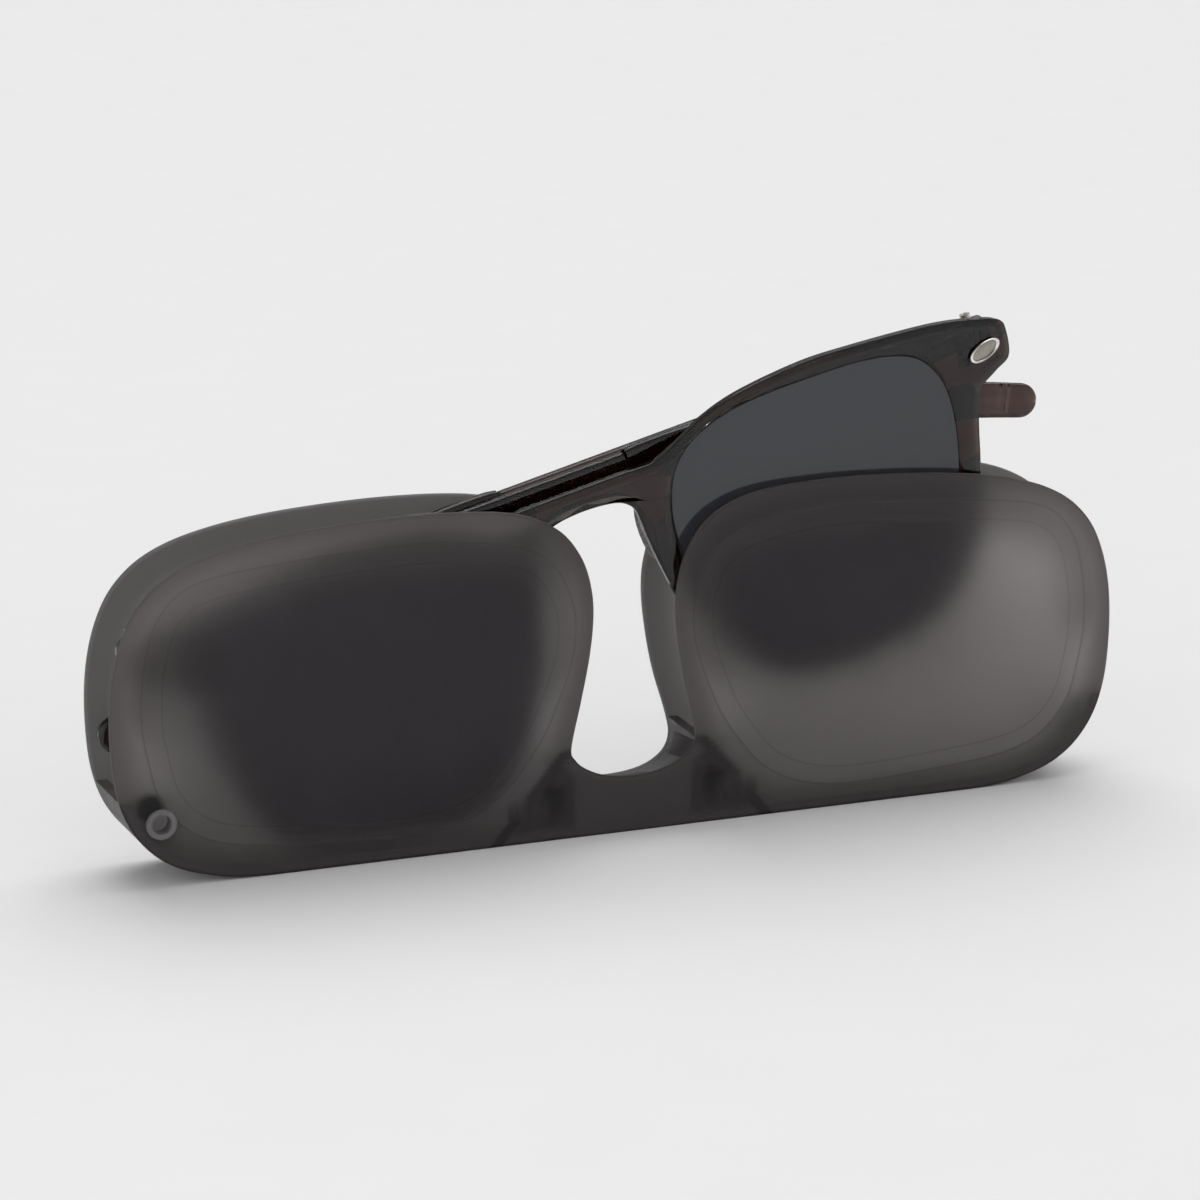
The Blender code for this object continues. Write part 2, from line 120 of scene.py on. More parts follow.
SLEEVE_GROOVES, GROOVE_DEPTH, GROOVE_HALF_WIDTH = (65.2, 66.4, 67.6), 0.5, 0.2
SLEEVE_STEP, SLEEVE_STEP_SPAN = 0.5, (12.0, 30.0)  # extra height at the root, and where it fades
RIB_TOP_X, RIB_TOP_Z, RIB_RUN = 10.0, 12.8, 10.6  # a rib leans outwards by its run down to z = 0
EYELET_BORE_SHARE = 0.62  # of the eyelet's outer radius
PAINTED_CREASE_LINES = ((-1.9, 0.55), (0.8, 0.3))  # how far inside the pillow line each painted crease line runs, and its strength
FRONT_ROUND_STEPS, BACK_ROUND_STEPS = 6, 5  # rings of each wall edge's two quarter rounds
SIDES = (("left", -1), ("right", 1))

# ---------------------------------------------------------------- stage, in metres and degrees

FLOOR_HALF, FLOOR_DROP = 6.0, 0.00002
KEY_DIRECTION, KEY_SPREAD = (0.2, 0.38, 1.0), 1.1
STRIP_POWER, STRIP_PLACE, STRIP_SIZE = 0.25, (-0.75, -0.25, 0.35), (0.12, 0.6)
STRIP_TARGET = (0, 0, 0.03)
CAMERA_AROUND, CAMERA_ABOVE, CAMERA_ROLL = -22.756, 14.476, 0.293
CAMERA_TARGET_MM, CAMERA_DISTANCE = (-5.489, -6.7, 33.927), 0.5535
CAMERA_LENS_MM, CAMERA_SENSOR_MM = 121.2, 36

# ---------------------------------------------------------------- lines and loops


def smooth_path(points, steps, closed=True):
    """Catmull-Rom curve: each span is the cubic that leaves and meets its ends along the line
    between their neighbours. An open path repeats its end points as their own neighbours."""
    p = np.asarray(points, float)
    if closed:
        before, after, beyond = np.roll(p, 1, 0), np.roll(p, -1, 0), np.roll(p, -2, 0)
        here = p
    else:
        wide = np.vstack([p[:1], p, p[-1:]])
        before, here, after, beyond = wide[:-3], wide[1:-2], wide[2:-1], wide[3:]
    t = (np.arange(steps) / steps)[None, :, None]
    a, b, c, d = (side[:, None, :] for side in (before, here, after, beyond))
    made = b + 0.5 * (
        (c - a) * t + (2 * a - 5 * b + 4 * c - d) * t**2 + (3 * b - a - 3 * c + d) * t**3
    )
    made = made.reshape(-1, p.shape[1])
    return made if closed else np.vstack([made, p[-1:]])


def spaced(path, count, closed=False):
    """The path walked at equal steps of its own length."""
    if closed:
        path = np.vstack([path, path[:1]])
    run = np.concatenate([[0], np.cumsum(np.linalg.norm(np.diff(path, axis=0), axis=1))])
    at = np.linspace(0, run[-1], count + 1)[:-1] if closed else np.linspace(0, run[-1], count)
    return np.stack([np.interp(at, run, path[:, k]) for k in range(path.shape[1])], -1)


def inward(loop, closed=True):
    """Unit vectors at right angles to the loop, pointing to its inside."""
    if closed:
        along = np.roll(loop, -1, 0) - np.roll(loop, 1, 0)
    else:
        along = np.gradient(loop, axis=0)
    along /= np.linalg.norm(along, axis=1)[:, None] + 1e-12
    x, z = loop[:, 0], loop[:, 1]
    area = np.sum(x * np.roll(z, -1) - np.roll(x, -1) * z)
    return np.sign(area) * np.stack([-along[:, 1], along[:, 0]], -1)


def distance_inside(points, loop):
    """Distance from each point to the loop, positive inside and negative outside."""
    a, b = loop, np.roll(loop, -1, 0)
    span = b - a
    to = points[:, None, :] - a[None]
    t = np.clip((to * span).sum(-1) / (span**2).sum(-1), 0, 1)
    gap = np.linalg.norm(to - t[..., None] * span, axis=-1).min(1)
    x, z = points[:, 0, None], points[:, 1, None]
    low, high = np.minimum(a[:, 1], b[:, 1]), np.maximum(a[:, 1], b[:, 1])
    rise = np.where(np.abs(span[:, 1]) < 1e-9, 1e-9, span[:, 1])
    crossing = (z >= low) & (z < high) & (x < a[:, 0] + (z - a[:, 1]) / rise * span[:, 0])
    return np.where(crossing.sum(1) % 2 == 1, gap, -gap)


def at_depth(flat, y):
    """Points of X and Z with their Y put in."""
    return np.column_stack([flat[:, 0], np.broadcast_to(y, len(flat)), flat[:, 1]])


def full_turn(count):
    """Angles of count equal steps round a circle."""
    return np.linspace(0, 2 * math.pi, count + 1)[:-1]


def ease(value, start, end):
    """0 before start, 1 after end, and a smooth S between them."""
    t = np.clip((value - start) / (end - start), 0, 1)
    return t * t * (3 - 2 * t)


def seated(p, q, y):
    """From the sunglasses' own plane to the case: turned by the seat's tilt and moved to it."""
    turn, lean = math.cos(SEAT_TILT), math.sin(SEAT_TILT)
    x = SEAT[0] + p * turn - q * lean
    z = SEAT[1] + p * lean + q * turn
    return np.stack([x, np.broadcast_to(y, np.shape(x)), z], -1)


# ---------------------------------------------------------------- meshes


def ring_faces(rows, cols, wrap_rows=False):
    """Quads between neighbouring closed rows of a grid of points, as indices."""
    i = np.arange(rows if wrap_rows else rows - 1)[:, None]
    j = np.arange(cols)[None, :]
    down, over = (i + 1) % rows, (j + 1) % cols
    return np.stack([i * cols + j, i * cols + over, down * cols + over, down * cols + j], -1)


def new_piece(name, points, faces, materials, body, angle=40.0):
    """A welded, closed mesh object in the collection, from points in millimetres."""
    mesh = bpy.data.meshes.new(name)
    mesh.from_pydata((np.asarray(points).reshape(-1, 3) * MM).tolist(), [], faces.tolist())
    edit = bmesh.new()
    edit.from_mesh(mesh)
    bmesh.ops.remove_doubles(edit, verts=edit.verts, dist=1e-6)
    bmesh.ops.dissolve_degenerate(edit, edges=edit.edges, dist=1e-7)
    bmesh.ops.recalc_face_normals(edit, faces=edit.faces)
    edit.to_mesh(mesh)
    edit.free()
    return placed(name, mesh, materials, body, angle)


def placed(name, mesh, materials, body, angle=40.0):
    """Links a mesh as a piece with its materials, and hangs it on its body."""
    mesh.name = name
    mesh.materials.clear()
    for material in materials:
        mesh.materials.append(material)
    mesh.shade_smooth()
    mesh.set_sharp_from_angle(angle=math.radians(angle))
    piece = bpy.data.objects.new(name, mesh)
    bpy.context.scene.collection.objects.link(piece)
    if body:
        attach(piece, body)
    return piece


def half_outline(saddle, count):
    """The right half of the case's outline, from the middle of the bottom round to the middle
    of the saddle, with its cut edge straight on the mirror line."""
    full = LOBE + saddle
    full = full + [(-x, z) for x, z in reversed(full[1:-1])]
    loop = smooth_path(full, 8)
    half = loop[: (len(LOBE) + len(saddle) - 1) * 8 + 1].copy()
    half[:, 1] = np.maximum(half[:, 1], 0)
    half[:, 0] = np.maximum(half[:, 0], 0)
    half[-1, 0] = 0
    return spaced(half, count)


def wall_rings(loop, front, back, rim, relief, fill, back_fill):
    """A wall between two faces, as rings of points: fill rings widen from the middle of the
    front face to its edge, a quarter round turns onto the side, and the back mirrors that.
    rim is the rounding's radius, and relief(x, z) pushes the front face backwards. The cut
    edge at X = 0 stays flat."""
    centre = np.array(LOBE_MIDDLE)
    normal = inward(loop, closed=False)
    normal[[0, -1]] = ((0, 1), (0, -1))

    def level(distance, y):
        flat = loop + normal * distance
        flat[:, 0] = np.maximum(flat[:, 0], 0)
        return at_depth(flat, y)

    sink = relief(loop[:, 0], loop[:, 1])
    rings = []
    for share in np.linspace(0, 1, fill)[:-1]:
        flat = centre + share * (level(rim, 0)[:, [0, 2]] - centre)
        rings.append(at_depth(flat, front + relief(flat[:, 0], flat[:, 1])))
    for turn in np.radians(np.linspace(0, 90, FRONT_ROUND_STEPS)):
        rings.append(level(rim * (1 - math.sin(turn)), front + sink + rim * (1 - math.cos(turn))))
    for turn in np.radians(np.linspace(90, 0, BACK_ROUND_STEPS)):
        rings.append(level(rim * (1 - math.sin(turn)), back - rim * (1 - math.cos(turn))))
    for share in np.linspace(1, 0, back_fill)[1:]:
        flat = centre + share * (level(rim, 0)[:, [0, 2]] - centre)
        rings.append(at_depth(flat, back))
    return np.array(rings)


# ---------------------------------------------------------------- materials


def new_material(name):
    """A material with only its output, the tree and the output node."""
    material = bpy.data.materials.new(name)
    material.use_nodes = True
    tree = material.node_tree
    tree.nodes.clear()
    output = tree.nodes.new("ShaderNodeOutputMaterial")
    return material, tree, output


def feed(tree, socket, value):
    """Links value to the socket, or sets it when it is a plain number or colour."""
    if isinstance(value, bpy.types.NodeSocket):
        tree.links.new(value, socket)
    else:
        socket.default_value = (*value, 1) if isinstance(value, tuple) else value


def node(tree, kind, **values):
    """A new node, each input set to a number or linked. An underscore stands for a space."""
    made = tree.nodes.new(kind)
    for key, value in values.items():
        feed(tree, made.inputs[key.replace("_", " ")], value)
    return made


def maths(tree, operation, *values):
    """One step of arithmetic on numbers or links."""
    made = tree.nodes.new("ShaderNodeMath")
    made.operation = operation
    for socket, value in zip(made.inputs, values):
        feed(tree, socket, value)
    return made.outputs[0]


def noise(tree, scale, detail=4.0):
    """A noise pattern fixed to the piece. scale is in lumps a metre."""
    place = tree.nodes.new("ShaderNodeTexCoord")
    where = place.outputs["Object"]
    return node(tree, "ShaderNodeTexNoise", Scale=scale, Detail=detail, Vector=where).outputs["Fac"]


def between(tree, value, low, high, start=0.3, end=0.7):
    """value spread from start..end to low..high."""
    ends = {"From_Min": start, "From_Max": end, "To_Min": low, "To_Max": high}
    return node(tree, "ShaderNodeMapRange", Value=value, **ends).outputs["Result"]


def tinted(tree, value, low, high):
    """A colour that goes from low, which may be a link, to high with value."""
    made = tree.nodes.new("ShaderNodeMix")
    made.data_type = "RGBA"
    for place, given in ((0, value), (6, low), (7, high)):
        feed(tree, made.inputs[place], given)
    return made.outputs[2]


def shade(colour, by):
    """The colour with each channel multiplied by the same number."""
    return tuple(channel * by for channel in colour)


def bumps(tree, value, height):
    """A normal from value, whose full step stands height metres high."""
    return node(tree, "ShaderNodeBump", Strength=1.0, Distance=height, Height=value).outputs[0]


def kept_number(tree, name):
    """The number that the mesh keeps under this name at each point."""
    mark = tree.nodes.new("ShaderNodeAttribute")
    mark.attribute_name = name
    return mark.outputs["Fac"]


def painted_crease_line(tree, kept, level, strength):
    """A thin soft line where the mesh's own number passes through level, in mm, for painted crease shade."""
    core, reach = 0.06, 0.22
    away = maths(tree, "SUBTRACT", kept_number(tree, kept), level)
    return between(tree, maths(tree, "ABSOLUTE", away), strength, 0.0, core, reach)


def frosted(name, through, body, sheen=0.36, thick=None, thick_body=None):
    """Frosted soft plastic: light behind it comes through spread out, and its skin is satin,
    with a fine moulded grain and slow clouds of thicker and thinner plastic. With thick, the mesh's
    own numbers are read: the light let through falls to thick, and the body to thick_body, over
    thick plastic at the keel and painted shade along the edges. Both fall much further where inner
    is 1, a painted shadow of what lies behind. Two thin painted crease lines follow levels of pillow."""
    material, tree, output = new_material(name)
    clouds = between(tree, noise(tree, 55, 3), 0, 1)
    fine = noise(tree, 2600, 2)
    glow_colour = tinted(tree, clouds, shade(through, 0.965), shade(through, 1.03))
    body_colour = tinted(tree, clouds, shade(body, 0.85), shade(body, 1.15))
    if thick:
        # Thick plastic over the keel with painted shade along the edges, then a painted shadow of what lies
        # behind.
        darker = (
            ("thickness_and_edge_shade", thick, thick_body),
            ("inner", shade(thick, 0.2), shade(thick_body, 0.25)),
        )
        for kept, glow_there, body_there in darker:
            share = kept_number(tree, kept)
            glow_colour = tinted(tree, share, glow_colour, glow_there)
            body_colour = tinted(tree, share, body_colour, body_there)
        # Painted crease shade: two thin lines that let less light through, with a paler body.
        for level, strength in PAINTED_CREASE_LINES:
            line = painted_crease_line(tree, "pillow", level, strength)
            glow_colour = tinted(tree, line, glow_colour, shade(thick, 1.5))
            body_colour = tinted(tree, line, body_colour, thick_body)
    glow = node(tree, "ShaderNodeBsdfTranslucent", Color=glow_colour)
    skin = node(
        tree,
        "ShaderNodeBsdfPrincipled",
        IOR=1.45,
        Specular_IOR_Level=sheen,
        Base_Color=body_colour,
        Roughness=between(tree, noise(tree, 420, 4), 0.42, 0.58),
        Normal=bumps(tree, fine, 0.00003),
    )
    both = tree.nodes.new("ShaderNodeAddShader")
    tree.links.new(glow.outputs[0], both.inputs[0])
    tree.links.new(skin.outputs[0], both.inputs[1])
    tree.links.new(both.outputs[0], output.inputs["Surface"])
    return material


def acetate(name, colour, density):
    """Polished see-through plastic that gets darker with depth, with faint smoky streaks."""
    material, tree, output = new_material(name)
    streaks = between(tree, noise(tree, 140, 5), 0, 1)
    skin = node(
        tree,
        "ShaderNodeBsdfPrincipled",
        IOR=1.5,
        Transmission_Weight=1.0,
        Specular_IOR_Level=0.3,
        Base_Color=tinted(tree, streaks, (0.78, 0.68, 0.64), (0.95, 0.9, 0.87)),
        Roughness=between(tree, noise(tree, 300, 3), 0.05, 0.11),
        Normal=bumps(tree, noise(tree, 160, 2), 0.00004),
    )
    depth = node(tree, "ShaderNodeVolumeAbsorption", Color=colour, Density=density)
    tree.links.new(skin.outputs[0], output.inputs["Surface"])
    tree.links.new(depth.outputs[0], output.inputs["Volume"])
    return material


def tinted_lens(name, colour):
    """A dark polished lens with a very slight cloudiness."""
    material, tree, output = new_material(name)
    cloud = between(tree, noise(tree, 30, 2), 0, 1)
    skin = node(
        tree,
        "ShaderNodeBsdfPrincipled",
        IOR=1.5,
        Coat_Weight=0.2,
        Coat_Roughness=0.02,
        Base_Color=tinted(tree, cloud, shade(colour, 0.95), shade(colour, 1.05)),
        Roughness=between(tree, noise(tree, 200, 3), 0.06, 0.1),
    )
    tree.links.new(skin.outputs[0], output.inputs["Surface"])
    return material


def metal(name, colour, rough_low, rough_high, grain=0.000006):
    """Bare metal with a fine uneven polish."""
    material, tree, output = new_material(name)
    wear = between(tree, noise(tree, 700, 5), 0, 1)
    skin = node(
        tree,
        "ShaderNodeBsdfPrincipled",
        Metallic=1.0,
        Base_Color=tinted(tree, wear, shade(colour, 0.86), shade(colour, 1.08)),
        Roughness=between(tree, noise(tree, 1500, 3), rough_low, rough_high),
        Normal=bumps(tree, noise(tree, 2500, 2), grain),
    )
    tree.links.new(skin.outputs[0], output.inputs["Surface"])
    return material


def clear_silicone(name, colour):
    """Soft clear silicone, a little milky."""
    material, tree, output = new_material(name)
    haze = between(tree, noise(tree, 500, 3), 0, 1)
    skin = node(
        tree,
        "ShaderNodeBsdfPrincipled",
        IOR=1.41,
        Transmission_Weight=0.8,
        Base_Color=tinted(tree, haze, shade(colour, 0.85), colour),
        Roughness=between(tree, noise(tree, 900, 3), 0.16, 0.3),
    )
    tree.links.new(skin.outputs[0], output.inputs["Surface"])
    return material


def paper(name, colour):
    """A pale matt floor."""
    material, tree, output = new_material(name)
    grain = between(tree, noise(tree, 60, 4), 0, 1)
    skin = node(
        tree,
        "ShaderNodeBsdfPrincipled",
        Specular_IOR_Level=0.0,
        Roughness=0.9,
        Base_Color=tinted(tree, grain, shade(colour, 0.995), shade(colour, 1.005)),
    )
    tree.links.new(skin.outputs[0], output.inputs["Surface"])
    return material


MATERIALS = {}


def material_of(kind):
    """Each finish is made once, from the sizes and colours on the panel."""
    if kind not in MATERIALS:
        case, glasses = bpy.context.scene.slip_case, bpy.context.scene.sunglasses
        makers = {
            "front": lambda: frosted(
                "frosted_front",
                tuple(case.front_glow),
                tuple(case.skin),
                0.14,
                tuple(case.keel_glow),
                tuple(case.keel_body),
            ),
            "back": lambda: frosted(
                "frosted_back",
                tuple(case.back_glow),
                tuple(case.skin),
                0.36,
                shade(tuple(case.back_glow), 0.5),
                tuple(case.keel_body),
            ),
            "keel": lambda: frosted("frosted_keel", tuple(case.keel_glow), tuple(case.keel_body)),
            "eyelet": lambda: frosted("frosted_eyelet", tuple(case.keel_glow), (0.13, 0.13, 0.132)),
            "peg": lambda: frosted("frosted_peg", shade(tuple(case.keel_glow), 0.1), (0.008, 0.0075, 0.009)),
            "acetate": lambda: acetate("smoky_acetate", tuple(glasses.tint), glasses.depth),
            "lens": lambda: tinted_lens("grey_lens", tuple(glasses.lens)),
            "hinge": lambda: metal("satin_nickel", (0.6, 0.58, 0.55), 0.22, 0.4),
            "bezel": lambda: metal("bright_bezel", (0.86, 0.83, 0.81), 0.08, 0.16),
            "pewter": lambda: metal("pewter", (0.36, 0.34, 0.3), 0.28, 0.4, 0.00001),
            "pad": lambda: clear_silicone("clear_silicone", (0.6, 0.58, 0.56)),
        }
        MATERIALS[kind] = makers[kind]()
    return MATERIALS[kind]


def refinish(nodes, kind):
    """Gives CAD nodes whose shape is right a finish in place of their plain one."""
    for name in nodes:
        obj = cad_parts[name]
        if not obj.material_slots:
            obj.data.materials.append(None)
        for place in obj.material_slots:
            place.material = material_of(kind)


# ---------------------------------------------------------------- case


def pillow_relief(settings):
    """How far the front face lies back from its foremost plane. Inside the pillow line it is
    nearly flat. A smooth shoulder drops to the margin, a fine crease follows its foot, and the
    margin rolls back a little towards the edge of the lobe."""
    crease_width = 0.3
    roll_depth, roll_width, mirror_fade = 0.16, 5.0, (4.0, 12.0)
    crown_depth, crown_width = 0.1, 14.0
    line = smooth_path(PILLOW, 5)
    edge = half_outline(FRONT_SADDLE, 260)

    def relief(x, z):
        points = np.stack([x, z], -1)
        inside = distance_inside(points, line)
        from_edge = np.abs(distance_inside(points, edge))
        drop = settings.shoulder_drop * (1 - ease(inside, -settings.shoulder_width, 0.0))
        crease = settings.crease * np.exp(-(((inside + settings.shoulder_width) / crease_width) ** 2))
        roll = roll_depth * (1 - ease(from_edge, 0.0, roll_width)) * ease(x, *mirror_fade)
        crown = crown_depth * (1 - ease(inside, 0.0, crown_width))
        return drop + crease + roll + crown

    return relief


class CASE_OT_front_skins(bpy.types.Operator):
    """Makes the two front walls of the pockets, each one sheet from its free top edge down to
    the underside, which bends above its foot"""

    bl_idname = "slip_case.front_skins"
    bl_label = "Front walls"

    def execute(self, context):
        settings = context.scene.slip_case
        loop = half_outline(FRONT_SADDLE, 420)
        rings = wall_rings(
            loop, FRONT_Y, INNER_FACE_Y, settings.edge_round, pillow_relief(settings), 92, 24
        )
        faces = ring_faces(*rings.shape[:2]).reshape(-1, 4)
        low, high = (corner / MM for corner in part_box("lanyard_eyelet"))
        play = 0.02
        for side, sign in SIDES:
            points = rings * (sign, 1, 1)
            name = f"{side}_front_skin"
            skin = new_piece(name, points, faces, [material_of("front")], None, 50)
            if side == "left":
                bore_hole(skin, (low + high) / 2, (high.x - low.x) / 2 + play)
            mark_thickness_and_shade(skin, side)
            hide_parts(f"{side}_front_flap")
            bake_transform(skin)
        return {"FINISHED"}


def face_places(mesh, saddle):
    """Each point's distance from the mirror line, its height, and how far it is from the edge."""
    flat = np.empty(len(mesh.vertices) * 3, np.float32)
    mesh.vertices.foreach_get("co", flat)
    flat = flat.reshape(-1, 3)[:, [0, 2]].astype(float) / MM
    x, z = np.abs(flat[:, 0]), flat[:, 1]
    edge = half_outline(saddle, 260)
    edge = edge[edge[:, 0] > 0]
    gaps = np.linalg.norm(np.stack([x, z], -1)[:, None] - edge[None], axis=-1)
    return x, z, gaps.min(1)


def mark_thickness_and_shade(piece, side):
    """Keeps three numbers at each point of a front wall. The first is 1 over the rim, saddle and
    ribs of the keel, where the case is solid behind it, 0 over the open pocket, and part of the way
    along the free edges and the upper edges, where it is painted shade. inner is a painted shadow of
    the ribs, of the stud and, on the left, of the slit's peg. pillow is the distance inside the pillow line,
    in mm."""
    mesh = piece.data
    x, z, from_edge = face_places(mesh, FRONT_SADDLE)
    in_foot = 1 - ease(z, FLAP_FOOT_Z - 0.5, FLAP_FOOT_Z + 0.6)
    rim = np.maximum(1 - ease(from_edge, 1.2, 2.4), 0.5 * (1 - ease(from_edge, 2.2, 5.8)))
    saddle = 1 - ease(x, 8.4, 9.6)
    rib_middle = RIB_TOP_X + (RIB_TOP_Z - z) / RIB_TOP_Z * RIB_RUN
    rib = 1 - ease(np.abs(x - rib_middle), 0.5, 1.5)
    solid = in_foot * np.maximum.reduce([rim, saddle, rib])
    # Painted shade: less light through the skin near the free edges, and over a wider band near the upper
    # edges.
    free_edge_shade = 0.72 * (1 - ease(from_edge, 0.4, 5.4))
    upper_edge_shade = 0.5 * (1 - ease(from_edge, 3.0, 12.0)) * ease(z, 16.0, 26.0)
    store(mesh, "thickness_and_edge_shade", np.maximum.reduce([solid, free_edge_shade, upper_edge_shade]))
    # Painted shadow of the ribs, the stud and the slit's peg, shifted a little outwards and up.
    dark = [0.6 * rib * in_foot]
    shadow_shift_x, shadow_shift_z = 0.6, 0.4
    shown = ("inner_stud", "slit_boss") if side == "left" else ("inner_stud",)
    for kind in shown:
        low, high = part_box(f"{side}_{kind}")
        middle, reach = (low + high) / 2 / MM, (high.x - low.x) / 2 / MM
        away = np.hypot(x - abs(middle.x) - shadow_shift_x, z - middle.z - shadow_shift_z)
        dark.append(0.85 * (1 - ease(away, reach - 0.2, reach + 0.9)))
    store(mesh, "inner", np.maximum.reduce(dark))
    store(mesh, "pillow", distance_inside(np.stack([x, z], -1), smooth_path(PILLOW, 5)))


def store(mesh, name, values):
    """Keeps one number a point on the mesh, for its finish to read."""
    kept = mesh.attributes.new(name, "FLOAT", "POINT")
    kept.data.foreach_set("value", values.astype(np.float32))


def bore_hole(piece, middle, radius):
    """Cuts a round hole along Y through the piece, then drops the cutter."""
    mesh = bpy.data.meshes.new("cutter")
    edit = bmesh.new()
    bmesh.ops.create_cone(
        edit, cap_ends=True, segments=48, radius1=radius * MM, radius2=radius * MM, depth=0.012
    )
    edit.to_mesh(mesh)
    edit.free()
    cutter = bpy.data.objects.new("cutter", mesh)
    bpy.context.scene.collection.objects.link(cutter)
    cutter.rotation_euler = (math.pi / 2, 0, 0)
    cutter.location = (middle[0] * MM, FRONT_Y * MM, middle[2] * MM)
    cut = piece.modifiers.new("hole", "BOOLEAN")
    cut.operation = "DIFFERENCE"
    cut.solver = "EXACT"
    cut.object = cutter
    bpy.context.view_layer.update()
    graph = bpy.context.evaluated_depsgraph_get()
    made = bpy.data.meshes.new_from_object(piece.evaluated_get(graph))
    piece.modifiers.clear()
    piece.data = made
    bpy.data.objects.remove(cutter, do_unlink=True)


def level_relief(x, z):
    """The relief of a flat face: nothing anywhere."""
    return np.zeros_like(x)


class CASE_OT_back_wall(bpy.types.Operator):
    """Makes the one-piece back wall of the case with its rounded rim"""

    bl_idname = "slip_case.back_wall"
    bl_label = "Back wall"

    def execute(self, context):
        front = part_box("case_back_wall")[0].y / MM
        loop = half_outline(BACK_SADDLE, 300)
        rounding, fill = 0.4, 18
        rings = wall_rings(loop, front, BACK_Y, rounding, level_relief, fill, fill)
        quads = ring_faces(*rings.shape[:2])
        row = np.arange(len(rings) - 1)
        last = fill - 1 + FRONT_ROUND_STEPS + BACK_ROUND_STEPS - 1
        rim = (row >= fill - 1) & (row < last)
        quads = np.concatenate([quads[~rim].reshape(-1, 4), quads[rim][:, :-1].reshape(-1, 4)])
        count = rings.shape[0] * rings.shape[1]
        points = np.concatenate([rings.reshape(-1, 3), rings.reshape(-1, 3) * (-1, 1, 1)])
        faces = np.concatenate([quads, quads[:, ::-1] + count])
        wall = new_piece("back_wall", points, faces, [material_of("back")], "case", 50)
        # Painted shade: the back wall lets less light through towards its outline.
        store(wall.data, "thickness_and_edge_shade", 1 - ease(face_places(wall.data, BACK_SADDLE)[2], 2.0, 9.0))
        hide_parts("case_back_wall")
        return {"FINISHED"}


class CASE_OT_keel(bpy.types.Operator):
    """Makes the foot of both pockets, with its saddle and slanting ribs, behind the front walls"""

    bl_idname = "slip_case.keel"
    bl_label = "Keel"

    def execute(self, context):
        wall_gap, on_back, back_gap = 0.03 * MM, 1e-5, 2e-5
        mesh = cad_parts["case_base"].data.copy()
        edit = bmesh.new()
        edit.from_mesh(mesh)
        bmesh.ops.remove_doubles(edit, verts=edit.verts, dist=1e-6)
        cut = bmesh.ops.bisect_plane(
            edit,
            geom=edit.verts[:] + edit.edges[:] + edit.faces[:],
            plane_co=(0, INNER_FACE_Y * MM + wall_gap, 0),
            plane_no=(0, -1, 0),
            clear_outer=True,
        )
        rim = [e for e in cut["geom_cut"] if isinstance(e, bmesh.types.BMEdge)]
        bmesh.ops.holes_fill(edit, edges=rim, sides=0)
        bmesh.ops.triangulate(edit, faces=[f for f in edit.faces if len(f.verts) > 4])
        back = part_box("case_base")[1].y
        for vert in edit.verts:
            if vert.co.y > back - on_back:
                vert.co.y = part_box("case_back_wall")[0].y - back_gap
        edit.to_mesh(mesh)
        edit.free()
        keel = placed("keel", mesh, [material_of("keel")], "case", 35)
        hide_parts("case_base")
        return {"FINISHED"}


class CASE_OT_pegs(bpy.types.Operator):
    """Makes the lanyard eyelet, and finishes the studs and the pegs at the ends of the slits"""

    bl_idname = "slip_case.pegs"
    bl_label = "Eyelet, studs and pegs"

    def execute(self, context):
        low, high = (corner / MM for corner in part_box("lanyard_eyelet"))
        middle, outer = (low + high) / 2, (high.x - low.x) / 2
        bore = outer * EYELET_BORE_SHARE
        count, round_off = 64, 0.25
        turn = full_turn(count)
        corners = [
            (outer, high.y), (bore, high.y), (bore, low.y + round_off),
            (bore + round_off, low.y), (outer - round_off, low.y), (outer, low.y + round_off),
        ]  # fmt: skip
        profile = smooth_path(corners, 4)
        round_it = np.column_stack([np.cos(turn), np.sin(turn)])
        rings = np.array([at_depth((middle.x, middle.z) + r * round_it, y) for r, y in profile])
        faces = ring_faces(len(rings), count, wrap_rows=True).reshape(-1, 4)
        ring = new_piece("eyelet", rings, faces, [material_of("eyelet")], "case")
        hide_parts("lanyard_eyelet")
        for kind in ("inner_stud", "slit_boss"):
            refinish([f"{side}_{kind}" for side, _ in SIDES], "peg")
        return {"FINISHED"}


# ---------------------------------------------------------------- sunglasses


def matched(outer, inner):
    """For every outer point, the inner loop's point beside it: the nearest one, kept in order
    and spread by a running mean so that no stretch is left out."""
    count = len(inner)
    start = int(np.argmin(np.linalg.norm(inner - outer[0], axis=1)))
    inner = np.roll(inner, -start, 0)
    gaps = np.linalg.norm(outer[:, None] - inner[None], axis=-1)
    place = np.maximum.accumulate(np.where(np.arange(len(outer)) < 3, 0, gaps.argmin(1)))
    place = np.minimum(place, count - 1).astype(float)
    reach = 14
    kernel = np.ones(2 * reach + 1) / (2 * reach + 1)
    place = np.convolve(np.pad(place, reach, "edge"), kernel, "valid")
    closed = np.vstack([inner, inner[:1]])
    return np.stack([np.interp(place, np.arange(count + 1), closed[:, k]) for k in (0, 1)], -1)


